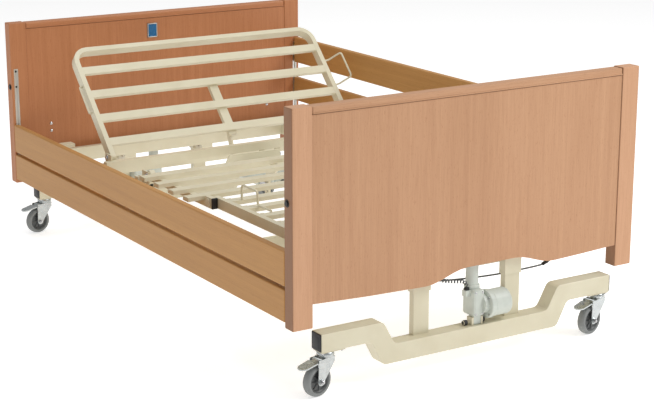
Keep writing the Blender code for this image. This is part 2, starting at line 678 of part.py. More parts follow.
def make_push_rod(name, x, pin_y, tail_y, carrier):
    """A push rod: round bar, fork and pin. The pin works in a section's slotted lever."""
    away = 1 if pin_y > tail_y else -1
    bar = cylinder((x, tail_y, DRIVE_Z), (x, pin_y - away * 0.035, DRIVE_Z), 0.008)
    block = box((x - 0.0115, pin_y - away * 0.040, DRIVE_Z - 0.010),
                (x + 0.0115, pin_y + away * 0.010, DRIVE_Z + 0.010))
    slot = box((x - 0.0062, pin_y - away * 0.030, DRIVE_Z - 0.02),
               (x + 0.0062, pin_y + away * 0.02, DRIVE_Z + 0.02))
    pin = cylinder((x - 0.011, pin_y, DRIVE_Z), (x + 0.011, pin_y, DRIVE_Z), 0.005, 16)
    rod = union([cut(union([bar, block]), [slot]), pin])
    finish(rod, name, STEEL, carrier, (x, pin_y, DRIVE_Z), smooth=True)


# ---------------------------------------------------------------- platform sections


def slats(middles, half_length, width=SLAT_WIDTH):
    """Flat slats across a section, let into its side tubes."""
    return [box((-half_length, middle - width / 2, SLAT_Z[0]), (half_length, middle + width / 2, SLAT_Z[1]))
            for middle in middles]


def side_bars(outer_x, length, top):
    """A section's two side tubes from its hinge at y = 0 towards -y, with rounded hinge ends."""
    inner_x = outer_x - TUBE_WIDTH
    pieces = mirrored_boxes((inner_x, outer_x), (-length, 0.0), (-TUBE_HALF_HEIGHT, top))
    pieces += [cylinder((side * inner_x, 0, 0), (side * outer_x, 0, 0), TUBE_HALF_HEIGHT)
               for _, side in SIDES]
    return pieces


def hinge_holes(outer_x):
    """Cutters for a section's two hinge holes."""
    radius = PIN_RADIUS + PIN_CLEARANCE
    return [cylinder((side * (outer_x - 0.03), 0, 0), (side * (outer_x + 0.01), 0, 0), radius)
            for _, side in SIDES]


def make_backrest(frame):
    """The backrest: a bent tube frame, four slats and a rib with a slotted drive lever, built flat."""
    inner_x = SECTION_OUTER_X - TUBE_WIDTH
    outer_arc = arc_points((SECTION_OUTER_X - BACK_CORNER, BACK_LENGTH - BACK_CORNER), BACK_CORNER, 0, 90, 6)
    inner_arc = arc_points((SECTION_OUTER_X - BACK_CORNER, BACK_LENGTH - BACK_CORNER),
                           BACK_CORNER - TUBE_WIDTH, 0, 90, 6)
    outer = [(SECTION_OUTER_X, 0.0)] + outer_arc
    inner = [(inner_x, 0.0)] + inner_arc
    outline = outer + [(-x, y) for x, y in reversed(outer)] + [(-x, y) for x, y in inner] + inner[::-1]
    pieces = [bevelled(plate(outline, -TUBE_HALF_HEIGHT, TUBE_HALF_HEIGHT, "Z"), 0.006)]
    pieces += [cylinder((side * inner_x, 0, 0), (side * SECTION_OUTER_X, 0, 0), TUBE_HALF_HEIGHT)
               for _, side in SIDES]
    pieces += slats((0.058, 0.166, 0.274, 0.382), inner_x + 0.001, BACK_SLAT_WIDTH)
    pieces.append(box((BACK_LEVER_X - 0.018, 0.030, -0.012), (BACK_LEVER_X + 0.018, 0.293, 0.004)))
    pieces.append(make_lever(BACK_LEVER_X, -LEVER_LEAN,
                             [(0.030, -0.020), (0.034, -0.008), (0.095, -0.008), (0.060, -0.034)]))
    backrest = union(pieces)
    backrest = cut(backrest, hinge_holes(SECTION_OUTER_X) + [lever_slot(BACK_LEVER_X, -LEVER_LEAN)])
    backrest = finish(backrest, "backrest", CREAM, None)
    tilt = Matrix.Rotation(BACK_ANGLE, 4, "X")
    backrest.matrix_world = Matrix.Translation((0, BACK_PIVOT_Y, PIVOT_Z)) @ tilt
    hang_on(backrest, frame)


def lever_axes(lean):
    """Unit vectors, in a section's (y, z), down the lever and across it."""
    down = Vector((math.sin(lean), -math.cos(lean)))
    return down, Vector((-down.y, down.x))


def make_lever(x, lean, anchor):
    """A lever plate: from its anchor points on the rib to the end of the slotted arm."""
    down, across = lever_axes(lean)
    half_width = 0.015
    arm = [down * 0.082 - across * half_width, down * 0.140 - across * half_width,
           down * 0.140 + across * half_width, down * 0.082 + across * half_width]
    points = [anchor[0]] + [tuple(point) for point in arm] + anchor[:0:-1]
    return plate(points, x - LEVER_HALF_THICKNESS, x + LEVER_HALF_THICKNESS, "X")


def lever_slot(x, lean):
    """Cutter for the slot that a push rod's pin works in."""
    down, across = lever_axes(lean)
    half_width = 0.009
    corners = [down * 0.092 - across * half_width, down * 0.130 - across * half_width,
               down * 0.130 + across * half_width, down * 0.092 + across * half_width]
    return plate([tuple(corner) for corner in corners], x - 0.02, x + 0.02, "X")


def make_thigh(frame):
    """The thigh section: wide slats on low side tubes, the knee pins and the knee drive's lever."""
    inner_x = SECTION_OUTER_X - TUBE_WIDTH
    pieces = side_bars(SECTION_OUTER_X, THIGH_LENGTH, SLAT_Z[0] + 0.0005)
    pieces += mirrored_boxes((inner_x + 0.0005, SECTION_OUTER_X - 0.0005), (-THIGH_LENGTH + 0.0005, -THIGH_LENGTH + 0.045),
                             (-TUBE_HALF_HEIGHT + 0.0005, TUBE_HALF_HEIGHT))
    pieces += slats((-0.070, -0.180, -0.290, -0.400), THIGH_SLAT_HALF)
    pieces.append(box((KNEE_LEVER_X - 0.018, -0.309, -0.012), (KNEE_LEVER_X + 0.018, -0.050, 0.004)))
    pieces.append(make_lever(KNEE_LEVER_X, 0.0, [(-0.100, -0.008), (-0.052, -0.008), (0.0, -0.040)]))
    pieces += [cylinder((side * 0.4970, -KNEE_OFFSET, 0), (side * (inner_x + 0.001), -KNEE_OFFSET, 0), PIN_RADIUS)
               for _, side in SIDES]
    thigh = cut(union(pieces), hinge_holes(SECTION_OUTER_X) + [lever_slot(KNEE_LEVER_X, 0.0)])
    thigh = finish(thigh, "thigh_section", CREAM, None)
    thigh.location = (0, THIGH_PIVOT_Y, PIVOT_Z)
    hang_on(thigh, frame)


def make_calf(frame):
    """The calf section, hinged between the thigh section's ends."""
    inner_x = CALF_OUTER_X - TUBE_WIDTH
    pieces = side_bars(CALF_OUTER_X, CALF_LENGTH, TUBE_HALF_HEIGHT)
    pieces.append(box((-CALF_OUTER_X + 0.001, -CALF_LENGTH + 0.0005, -TUBE_HALF_HEIGHT + 0.0005),
                      (CALF_OUTER_X - 0.001, -CALF_LENGTH + TUBE_WIDTH, TUBE_HALF_HEIGHT - 0.0005)))
    pieces += slats((-0.070, -0.180, -0.290, -0.400, -0.510), inner_x + 0.001)
    calf = cut(union(pieces), hinge_holes(CALF_OUTER_X))
    calf = finish(calf, "calf_section", CREAM, None)
    calf.location = (0, THIGH_PIVOT_Y - KNEE_OFFSET, PIVOT_Z)
    hang_on(calf, frame)


def rounded_route(corners, radius, steps=3):
    """A path through corner points with each inner corner rounded."""
    corners = [Vector(corner) for corner in corners]
    points = [corners[0]]
    for before, corner, after in zip(corners, corners[1:], corners[2:]):
        start = corner + (before - corner).normalized() * radius
        end = corner + (after - corner).normalized() * radius
        for step in range(steps + 1):
            t = step / steps
            points.append(start * (1 - t) ** 2 + corner * 2 * t * (1 - t) + end * t ** 2)
    points.append(corners[-1])
    return points


def make_retainers(back_frame, calf_frame):
    """The bent wires that keep the mattress in place, on the backrest and on the calf section."""
    wire = 0.004
    back_place = Matrix.Translation((0, BACK_PIVOT_Y, PIVOT_Z)) @ Matrix.Rotation(BACK_ANGLE, 4, "X")
    calf_place = Matrix.Translation((0, THIGH_PIVOT_Y - KNEE_OFFSET, PIVOT_Z))
    for side_name, side in SIDES:
        start = SECTION_OUTER_X + GAP
        if side > 0:
            bend = 0.012
            corners = [(start, 0.200, 0.0), (0.562, 0.200, 0.0), (0.603, 0.200, 0.053),
                       (0.603, 0.320, 0.053), (0.562, 0.320, 0.0), (start, 0.320, 0.0)]
        else:
            bend = 0.006
            corners = [(-start, 0.200, 0.0), (-0.551, 0.200, 0.0), (-0.551, 0.320, 0.0), (-start, 0.320, 0.0)]
        points = [back_place @ point for point in rounded_route(corners, bend)]
        finish(tube_curve("wire", points, wire), f"retainer_back_{side_name}", CREAM, back_frame)
        x = side * 0.457
        slat_top = SLAT_Z[1] + GAP
        lying = slat_top + wire
        corners = [(x, -0.082, slat_top), (x, -0.082, 0.068), (x, -0.187, 0.068), (x, -0.187, lying),
                   (x, -0.275, lying)]
        points = [calf_place @ point for point in rounded_route(corners, 0.014)]
        finish(tube_curve("wire", points, wire), f"retainer_calf_{side_name}", CREAM, calf_frame)


# ---------------------------------------------------------------- cables at the foot end


def make_cables(carrier):
    """The curly lead from the foot motor to the frame, and the lead that hangs under the end tube."""
    curly = smooth_route([
        (0.000, -1.0700, 0.2403), (0.000, -1.0700, 0.2450), (0.000, -1.0700, 0.2500),
        (-0.012, -1.0695, 0.2630), (-0.046, -1.0650, 0.2690), (-0.088, -1.0620, 0.2780),
        (-0.117, -1.0600, 0.2960),
        (-0.125, -1.0540, 0.3150), (-0.125, -1.0450, 0.3160), (-0.125, -1.0403, 0.3160)], 4)
    finish(tube_curve("curly", curly, 0.0070), "curly_cable", CABLE, carrier)
    hanging = smooth_route([
        (-0.100, -1.0175, 0.2837), (-0.100, -1.0175, 0.2810), (-0.100, -1.0175, 0.2780),
        (-0.092, -1.0175, 0.2680),
        (-0.060, -1.0175, 0.2610), (0.040, -1.0175, 0.2520), (0.160, -1.0175, 0.2460),
        (0.270, -1.0175, 0.2460), (0.360, -1.0175, 0.2500), (0.392, -1.0175, 0.2660),
        (0.400, -1.0175, 0.2780), (0.400, -1.0175, 0.2810), (0.400, -1.0175, 0.2837)], 5)
    finish(tube_curve("hanging", hanging, 0.0028), "frame_cable", CABLE, carrier)


# ---------------------------------------------------------------- assembly


def main():
    """Build the bed."""
    foot_base = joint_frame("foot_base", (0, -STEM_Y, 0))
    carrier = joint_frame("bed_lift", (0, 0, FRAME_Z[0]), foot_base)
    head_base = joint_frame("head_base", (0, STEM_Y, 0), carrier)
    for end, base in ((FOOT, foot_base), (HEAD, head_base)):
        make_castor_beam(end, base)
        make_lift_motor(end, base)
        for side_name, side in SIDES:
            make_castor(end, side_name, side, base)
        make_frame_end(end, carrier)
        make_posts(end, carrier)
        make_panel(end, carrier)
        make_cap(end, carrier)
        make_tracks(end, carrier)
        make_buttons(end, carrier)
    make_badge(carrier)
    make_side_rails(carrier)
    make_frame_sides(carrier)
    make_cross_tubes(carrier)
    make_seat_frame(carrier)
    make_drive(carrier)
    back_pin_y = BACK_PIVOT_Y + BACK_ROD_TRAVEL * (BACK_ANGLE - LEVER_LEAN)
    make_push_rod("push_rod_back", BACK_LEVER_X, back_pin_y, 0.200, carrier)
    make_push_rod("push_rod_knee", KNEE_LEVER_X, THIGH_PIVOT_Y, 0.300, carrier)
    back_hinge = joint_frame("backrest_hinge", (0, BACK_PIVOT_Y, PIVOT_Z), carrier)
    thigh_hinge = joint_frame("thigh_hinge", (0, THIGH_PIVOT_Y, PIVOT_Z), carrier)
    knee_hinge = joint_frame("knee_hinge", (0, THIGH_PIVOT_Y - KNEE_OFFSET, PIVOT_Z), thigh_hinge)
    make_backrest(back_hinge)
    make_thigh(thigh_hinge)
    make_calf(knee_hinge)
    make_retainers(back_hinge, knee_hinge)
    make_cables(carrier)


main()
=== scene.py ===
"""Looks of the adjustable hospital bed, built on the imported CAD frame.

Metres, +Z up, origin on the floor under the middle of the bed. -Y is the foot end and -X the left.
"""

import math

import bmesh
import bpy
from mathutils import Matrix, Vector


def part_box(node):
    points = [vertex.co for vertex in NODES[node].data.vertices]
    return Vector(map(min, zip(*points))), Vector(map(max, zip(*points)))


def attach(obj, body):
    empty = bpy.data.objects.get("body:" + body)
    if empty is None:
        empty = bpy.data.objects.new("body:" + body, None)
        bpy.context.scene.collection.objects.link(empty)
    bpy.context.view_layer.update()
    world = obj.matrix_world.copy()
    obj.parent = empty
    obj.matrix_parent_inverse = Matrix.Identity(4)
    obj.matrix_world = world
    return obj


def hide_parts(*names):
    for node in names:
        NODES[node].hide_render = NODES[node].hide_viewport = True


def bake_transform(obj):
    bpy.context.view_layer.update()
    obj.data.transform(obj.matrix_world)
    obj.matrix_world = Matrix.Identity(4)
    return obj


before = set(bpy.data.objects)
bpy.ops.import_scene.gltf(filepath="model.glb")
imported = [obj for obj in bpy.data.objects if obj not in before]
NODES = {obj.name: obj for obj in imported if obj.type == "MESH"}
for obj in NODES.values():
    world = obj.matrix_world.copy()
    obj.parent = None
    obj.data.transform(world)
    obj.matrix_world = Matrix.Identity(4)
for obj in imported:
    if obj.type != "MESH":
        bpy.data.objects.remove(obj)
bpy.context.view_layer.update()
SIDES = (("left", -1), ("right", 1))
ENDS = (("foot", -1), ("head", 1))

CAMERA_PLACE = (-3.074, -5.114, 1.857)
CAMERA_YAW = 0.5623
CAMERA_PITCH = 0.2579
CAMERA_LENS = 91.6
FLOOR_GLOW = 0.50

# ---------------------------------------------------------------- studio


def make_camera():
    """A long lens, low on the foot end's left, looking down the bed."""
    camera = bpy.data.objects.new("camera", bpy.data.cameras.new("camera"))
    bpy.context.scene.collection.objects.link(camera)
    camera.data.lens = CAMERA_LENS
    camera.data.sensor_width = 36.0
    camera.data.clip_end = 60.0
    camera.location = CAMERA_PLACE
    camera.rotation_euler = (math.pi / 2 - CAMERA_PITCH, 0.0, -CAMERA_YAW)
    bpy.context.scene.camera = camera


def make_floor():
    """A plain pale floor."""
    bm = bmesh.new()
    bmesh.ops.create_grid(bm, x_segments=1, y_segments=1, size=30.0)
    mesh = bpy.data.meshes.new("floor")
    bm.to_mesh(mesh)
    bm.free()
    floor = bpy.data.objects.new("floor", mesh)
    bpy.context.scene.collection.objects.link(floor)
    material = bpy.data.materials.new("floor")
    material.use_nodes = True
    shader = material.node_tree.nodes["Principled BSDF"]
    shader.inputs["Base Color"].default_value = (0.90, 0.90, 0.90, 1.0)
    shader.inputs["Roughness"].default_value = 0.9
    shader.inputs["Emission Color"].default_value = (1.0, 1.0, 1.0, 1.0)
    shader.inputs["Emission Strength"].default_value = FLOOR_GLOW
    mesh.materials.append(material)


def make_light(name, place, target, size, power):
    """A soft square lamp aimed at a point."""
    light = bpy.data.lights.new(name, "AREA")
    light.shape = "SQUARE"
    light.size = size
    light.energy = power
    lamp = bpy.data.objects.new(name, light)
    bpy.context.scene.collection.objects.link(lamp)
    lamp.location = place
    lamp.rotation_euler = (Vector(target) - Vector(place)).to_track_quat("-Z", "Y").to_euler()


def make_studio():
    """Camera, floor, lamps and an even pale sky."""
    make_camera()
    make_floor()
    make_light("key", (3.4, -3.4, 4.4), (0.2, 0.0, 0.4), 2.6, 185.0)
    make_light("fill", (-5.0, -2.5, 3.0), (0.0, 0.0, 0.4), 3.5, 24.0)
    make_light("top", (0.0, 1.0, 5.0), (0.0, 0.0, 0.4), 4.0, 85.0)
    world = bpy.data.worlds.new("studio")
    world.use_nodes = True
    sky = world.node_tree.nodes["Background"]
    sky.inputs["Color"].default_value = (1.0, 1.0, 1.0, 1.0)
    sky.inputs["Strength"].default_value = 0.42
    bpy.context.scene.world = world
    bpy.context.scene.view_settings.view_transform = "Standard"


# ---------------------------------------------------------------- materials


class Surface:
    """A Principled material with short ways to add the nodes that this bed's surfaces need."""

    def __init__(self, name, roughness, metallic=0.0):
        self.material = bpy.data.materials.new(name)
        self.material.use_nodes = True
        self.tree = self.material.node_tree
        self.shader = self.tree.nodes["Principled BSDF"]
        self.shader.inputs["Roughness"].default_value = roughness
        self.shader.inputs["Metallic"].default_value = metallic
        self.place = self.tree.nodes.new("ShaderNodeTexCoord").outputs["Object"]

    def noise(self, scale, detail=3.0, roughness=0.5, distortion=0.0):
        """Noise over the piece, with its own scale along X, Y and Z, in cycles per metre."""
        mapping = self.tree.nodes.new("ShaderNodeMapping")
        mapping.inputs["Scale"].default_value = scale
        texture = self.tree.nodes.new("ShaderNodeTexNoise")
        texture.inputs["Scale"].default_value = 1.0
        texture.inputs["Detail"].default_value = detail
        texture.inputs["Roughness"].default_value = roughness
        texture.inputs["Distortion"].default_value = distortion
        self.tree.links.new(self.place, mapping.inputs["Vector"])
        self.tree.links.new(mapping.outputs["Vector"], texture.inputs["Vector"])
        return texture.outputs["Fac"]

    def ramp(self, value, low, high, low_colour, high_colour):
        """A colour that changes from one to the other as the value goes from low to high."""
        node = self.tree.nodes.new("ShaderNodeValToRGB")
        node.color_ramp.elements[0].position = low
        node.color_ramp.elements[1].position = high
        node.color_ramp.elements[0].color = (*low_colour, 1.0)
        node.color_ramp.elements[1].color = (*high_colour, 1.0)
        self.tree.links.new(value, node.inputs["Fac"])
        return node.outputs["Color"]

    def multiply(self, first, second):
        """Two colours multiplied."""
        node = self.tree.nodes.new("ShaderNodeMix")
        node.data_type = "RGBA"
        node.blend_type = "MULTIPLY"
        node.inputs["Factor"].default_value = 1.0
        self.tree.links.new(first, node.inputs[6])
        self.tree.links.new(second, node.inputs[7])
        return node.outputs[2]

    def spread(self, value, low, high):
        """A value from 0..1 mapped to low..high."""
        node = self.tree.nodes.new("ShaderNodeMapRange")
        node.inputs["To Min"].default_value = low
        node.inputs["To Max"].default_value = high
        self.tree.links.new(value, node.inputs["Value"])
        return node.outputs["Result"]

    def shade_side_faces(self, side_shade):
        """White, but a darker brown tone painted on faces towards +X or -X, as painted shade on the side
        faces.
        """
        split = self.tree.nodes.new("ShaderNodeSeparateXYZ")
        size = self.tree.nodes.new("ShaderNodeMath")
        size.operation = "ABSOLUTE"
        geometry = self.tree.nodes.new("ShaderNodeNewGeometry")
        self.tree.links.new(geometry.outputs["Normal"], split.inputs["Vector"])
        self.tree.links.new(split.outputs["X"], size.inputs[0])
        # The painted shade colour for the side faces.
        darker = (side_shade, 0.90 * side_shade, 0.80 * side_shade)
        return self.ramp(size.outputs["Value"], 0.3, 0.7, (1.0, 1.0, 1.0), darker)

    def set(self, socket, value):
        """Drive one of the shader's sockets."""
        self.tree.links.new(value, self.shader.inputs[socket])

    def bump(self, height, strength, distance):
        """Surface relief."""
        node = self.tree.nodes.new("ShaderNodeBump")
        node.inputs["Strength"].default_value = strength
        node.inputs["Distance"].default_value = distance
        self.tree.links.new(height, node.inputs["Height"])
        self.tree.links.new(node.outputs["Normal"], self.shader.inputs["Normal"])


def grain(axis, across, along):
    """Noise scales that are long along one axis."""
    return tuple(along if letter == axis else across for letter in "XYZ")


def wood(name, axis, light, dark, side_shade=1.0):
    """Lacquered beech with its grain along one axis: soft streaks, fine pores and short dark flecks.

    The last argument is how light the faces towards +X and -X are painted, next to the others: painted shade
    on the side faces.
    """
    surface = Surface(name, 0.38)
    streaks = surface.noise(grain(axis, 55.0, 0.9), 6.0, 0.62, 0.6)
    cloud = surface.noise(grain(axis, 5.0, 1.2), 2.0)
    pores = surface.noise(grain(axis, 620.0, 14.0), 2.0)
    flecks = surface.noise(grain(axis, 520.0, 85.0), 1.0)
    colour = surface.ramp(streaks, 0.22, 0.78, dark, light)
    colour = surface.multiply(colour, surface.ramp(cloud, 0.30, 0.70, (0.93, 0.91, 0.89), (1.0, 1.0, 1.0)))
    colour = surface.multiply(colour, surface.ramp(pores, 0.34, 0.56, (0.93, 0.90, 0.87), (1.0, 1.0, 1.0)))
    colour = surface.multiply(colour, surface.ramp(flecks, 0.27, 0.34, (0.86, 0.79, 0.73), (1.0, 1.0, 1.0)))
    # Painted shade: the faces towards +X and -X are darkened.
    if side_shade < 1.0:
        colour = surface.multiply(colour, surface.shade_side_faces(side_shade))
    surface.set("Base Color", colour)
    surface.set("Roughness", surface.spread(pores, 0.42, 0.56))
    surface.bump(pores, 0.10, 0.0003)
    surface.shader.inputs["Specular IOR Level"].default_value = 0.30
    surface.shader.inputs["Coat Weight"].default_value = 0.06
    surface.shader.inputs["Coat Roughness"].default_value = 0.30
    return surface.material


def paint(name, colour, worn):
    """Powder coat: a fine ripple, faint tone changes and a semi-gloss."""
    surface = Surface(name, 0.35)
    cloud = surface.noise((9.0, 9.0, 9.0), 3.0)
    ripple = surface.noise((420.0, 420.0, 420.0), 2.0)
    surface.set("Base Color", surface.ramp(cloud, 0.30, 0.62, worn, colour))
    surface.set("Roughness", surface.spread(cloud, 0.42, 0.30))
    surface.bump(ripple, 0.10, 0.0003)
    surface.shader.inputs["Coat Weight"].default_value = 0.15
    surface.shader.inputs["Coat Roughness"].default_value = 0.2
    return surface.material


def plastic(name, colour, roughness, tone=0.85):
    """Moulded plastic or rubber with a fine spark-eroded texture."""
    surface = Surface(name, roughness)
    texture = surface.noise((900.0, 900.0, 900.0), 2.0)
    cloud = surface.noise((30.0, 30.0, 30.0), 3.0)
    darker = tuple(tone * channel for channel in colour)
    surface.set("Base Color", surface.ramp(cloud, 0.35, 0.65, darker, colour))
    surface.set("Roughness", surface.spread(texture, roughness - 0.08, roughness + 0.08))
    surface.bump(texture, 0.15, 0.0002)
    return surface.material


def metal(name, colour, roughness, scale):
    """Bare or plated metal with fine drawn scratches."""
    surface = Surface(name, roughness, 1.0)
    scratches = surface.noise(scale, 3.0)
    darker = tuple(0.82 * channel for channel in colour)
    surface.set("Base Color", surface.ramp(scratches, 0.3, 0.7, darker, colour))
    surface.set("Roughness", surface.spread(scratches, roughness - 0.10, roughness + 0.12))
    surface.bump(scratches, 0.08, 0.0002)
    return surface.material


BEECH_LIGHT = (0.590, 0.335, 0.190)
BEECH_DARK = (0.500, 0.268, 0.145)
REDDER_LIGHT = (0.520, 0.222, 0.098)
REDDER_DARK = (0.430, 0.170, 0.070)
WOOD_UP = wood("beech_upright", "Z", BEECH_LIGHT, BEECH_DARK)
# The posts' faces towards +X and -X get painted shade, at 0.48 of the others' lightness.
WOOD_POST = wood("beech_post", "Z", (0.655, 0.375, 0.222), (0.575, 0.315, 0.178), 0.48)
WOOD_LONG = wood("beech_lengthwise", "Y", (0.548, 0.288, 0.094), (0.458, 0.228, 0.068))
WOOD_ACROSS = wood("beech_crosswise", "X", BEECH_LIGHT, BEECH_DARK)
WOOD_HEAD = wood("beech_headboard", "Z", REDDER_LIGHT, REDDER_DARK)
WOOD_HEAD_CAP = wood("beech_headboard_cap", "X", REDDER_LIGHT, REDDER_DARK)
CREAM = paint("cream_coat", (0.680, 0.630, 0.465), (0.635, 0.580, 0.415))
ALUMINIUM = metal("drawn_aluminium", (0.72, 0.71, 0.68), 0.34, (500.0, 500.0, 8.0))
ZINC = metal("zinc_plate", (0.56, 0.59, 0.59), 0.27, (60.0, 60.0, 60.0))
STEEL = metal("bright_steel", (0.62, 0.62, 0.63), 0.22, (300.0, 12.0, 300.0))
MOTOR = plastic("motor_grey", (0.60, 0.64, 0.58), 0.45, 0.92)
BLACK = plastic("black_plastic", (0.012, 0.012, 0.013), 0.5)
RUBBER = plastic("grey_tyre", (0.235, 0.245, 0.24), 0.62)
HUB = plastic("hub_grey", (0.085, 0.09, 0.09), 0.42)
CABLE = plastic("cable_jacket", (0.11, 0.12, 0.125), 0.5)
BADGE = plastic("badge_blue", (0.015, 0.13, 0.30), 0.25)

# ---------------------------------------------------------------- shape helpers

SHARP_ANGLE = math.radians(35.0)
BEVEL_ANGLE = math.radians(40.0)


def piece(name, bm, material):
    """Make an object from a bmesh."""
    mesh = bpy.data.meshes.new(name)
    bm.to_mesh(mesh)
    bm.free()
    mesh.materials.append(material)
    mesh.shade_smooth()
    mesh.set_sharp_from_angle(angle=SHARP_ANGLE)
    thing = bpy.data.objects.new(name, mesh)
    bpy.context.scene.collection.objects.link(thing)
    return thing


def add_block(bm, low, high, radius=0.0, matrix=None, segments=2):
    """Add a box with rounded edges."""
    size = Vector([abs(b - a) for a, b in zip(low, high)])
    centre = Vector([(a + b) / 2 for a, b in zip(low, high)])
    part = bmesh.new()
    bmesh.ops.create_cube(part, size=1.0, matrix=Matrix.Translation(centre) @ Matrix.Diagonal(size).to_4x4())
    if radius > 0.0:
        bmesh.ops.bevel(part, geom=part.edges[:], offset=radius, segments=segments, profile=0.5,
                        affect="EDGES")
    add_bmesh(bm, part, matrix)


def add_bmesh(bm, part, matrix=None):
    """Add one bmesh to another and free it."""
    if matrix is not None:
        part.transform(matrix)
    mesh = bpy.data.meshes.new("part")
    part.to_mesh(mesh)
    part.free()
    bm.from_mesh(mesh)
    bpy.data.meshes.remove(mesh)


def add_turned(bm, profile, place, axis, segments=32):
    """Add a closed shape turned about an axis. The profile is (radius, distance along the axis)."""
    part = bmesh.new()
    rings = []
    for radius, along in profile:
        if radius < 1e-6:
            rings.append([part.verts.new((0.0, 0.0, along))])
            continue
        rings.append([part.verts.new((radius * math.cos(2 * math.pi * k / segments),
                                      radius * math.sin(2 * math.pi * k / segments), along))
                      for k in range(segments)])
    for first, second in zip(rings, rings[1:]):
        for k in range(segments):
            corners = [first[k % len(first)], first[(k + 1) % len(first)],
                       second[(k + 1) % len(second)], second[k % len(second)]]
            corners = [c for n, c in enumerate(corners) if c not in corners[:n]]
            if len(corners) > 2:
                part.faces.new(corners)
    bmesh.ops.recalc_face_normals(part, faces=part.faces[:])
    turn = Vector(axis).to_track_quat("Z", "Y").to_matrix().to_4x4()
    add_bmesh(bm, part, Matrix.Translation(Vector(place)) @ turn)


def add_tube(bm, points, radius, segments=12):
    """Add a round tube swept along points."""
    points = [Vector(point) for point in points]
    part = bmesh.new()
    rings = []
    side = None
    for index, point in enumerate(points):
        along = (points[min(index + 1, len(points) - 1)] - points[max(index - 1, 0)]).normalized()
        if side is None:
            side = along.orthogonal().normalized()
        side = (side - along * side.dot(along)).normalized()
        up = along.cross(side)
        rings.append([part.verts.new(point + radius * (
            side * math.cos(2 * math.pi * k / segments) + up * math.sin(2 * math.pi * k / segments)))
            for k in range(segments)])
    for first, second in zip(rings, rings[1:]):
        for k in range(segments):
            part.faces.new((first[k], first[(k + 1) % segments], second[(k + 1) % segments], second[k]))
    part.faces.new(rings[0])
    part.faces.new(rings[-1])
    bmesh.ops.recalc_face_normals(part, faces=part.faces[:])
    add_bmesh(bm, part)


def smooth_route(knots, steps):
    """Points along a Catmull-Rom curve through the knots."""
    knots = [Vector(knot) for knot in knots]
    padded = [2 * knots[0] - knots[1]] + knots + [2 * knots[-1] - knots[-2]]
    points = []
    for before, first, second, after in zip(padded, padded[1:], padded[2:], padded[3:]):
        for step in range(steps):
            t = step / steps
            points.append(0.5 * (
                2 * first + (second - before) * t
                + (2 * before - 5 * first + 4 * second - after) * t ** 2
                + (3 * first - before - 3 * second + after) * t ** 3))
    points.append(knots[-1])
    return points


def soften(thing, width, segments=2):
    """Round the edges of an object in the render with a modifier."""
    bevel = thing.modifiers.new("soft_edges", "BEVEL")
    bevel.width = width
    bevel.segments = segments
    bevel.limit_method = "ANGLE"
    bevel.angle_limit = BEVEL_ANGLE


def placed(thing, body, slot, *replaced):
    """Make a piece move with a body and stand for CAD nodes, which it hides."""
    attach(thing, body)
    if replaced:
        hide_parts(*replaced)
    return thing


def corner_of(end_side, x, y, z):
    """A point of an end assembly. The head end is the foot end turned half round."""
    return Vector((-end_side * x, end_side * y, z))


def along(end_side, x):
    """A direction along an end assembly's X."""
    return (-end_side * x, 0.0, 0.0)


# ---------------------------------------------------------------- carried-over CAD nodes


def node_material(name):
    """The material for a CAD node, by its name."""
    if name.startswith(("panel_head", "post_head")):
        return WOOD_HEAD
    if name.startswith("post_"):
        return WOOD_POST
    if name == "cap_head":
        return WOOD_HEAD_CAP
    if name.startswith("panel_"):
        return WOOD_UP
    if name.startswith("cap_"):
        return WOOD_ACROSS
    if name.startswith("rail_"):
        return WOOD_LONG
    if name.startswith("track_"):
        return ALUMINIUM
    if name.endswith(("_fork", "_pedal")):
        return ZINC
    if name.startswith("push_rod"):
        return STEEL
    if name.startswith("lift_motor") or name == "platform_drive":
        return MOTOR
    if name.startswith("button_"):
        return BLACK
    if name.endswith("_wheel"):
        return RUBBER
    if name.endswith("_cable"):
        return CABLE
    if name == "badge":
        return BADGE
    return CREAM


def dress_nodes():
    """Give every CAD node its material, and the sheet metal and tubes rounded edges."""
    for name, node in NODES.items():
        node.data.materials.clear()
        node.data.materials.append(node_material(name))
        if name.startswith(("frame_side", "frame_cross", "frame_end", "seat_frame")):
            soften(node, 0.0016)
        if name.endswith(("_pedal", "_fork")):
            soften(node, 0.0007)
        if name in ("backrest", "thigh_section", "calf_section"):
            soften(node, 0.0012)


# ---------------------------------------------------------------- castors

UP = (0.0, 0.0, 1.0)
WHEEL_RADIUS = 0.050
CASTOR_HEADING = math.radians(192.0)
AXLE = Vector((-math.sin(CASTOR_HEADING), math.cos(CASTOR_HEADING), 0.0))
STEM_X = 0.539
STEM_Y = 1.0815


def centre_of(name):
    """The middle of a CAD node's box."""
    low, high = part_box(name)
    return (Vector(low) + Vector(high)) / 2


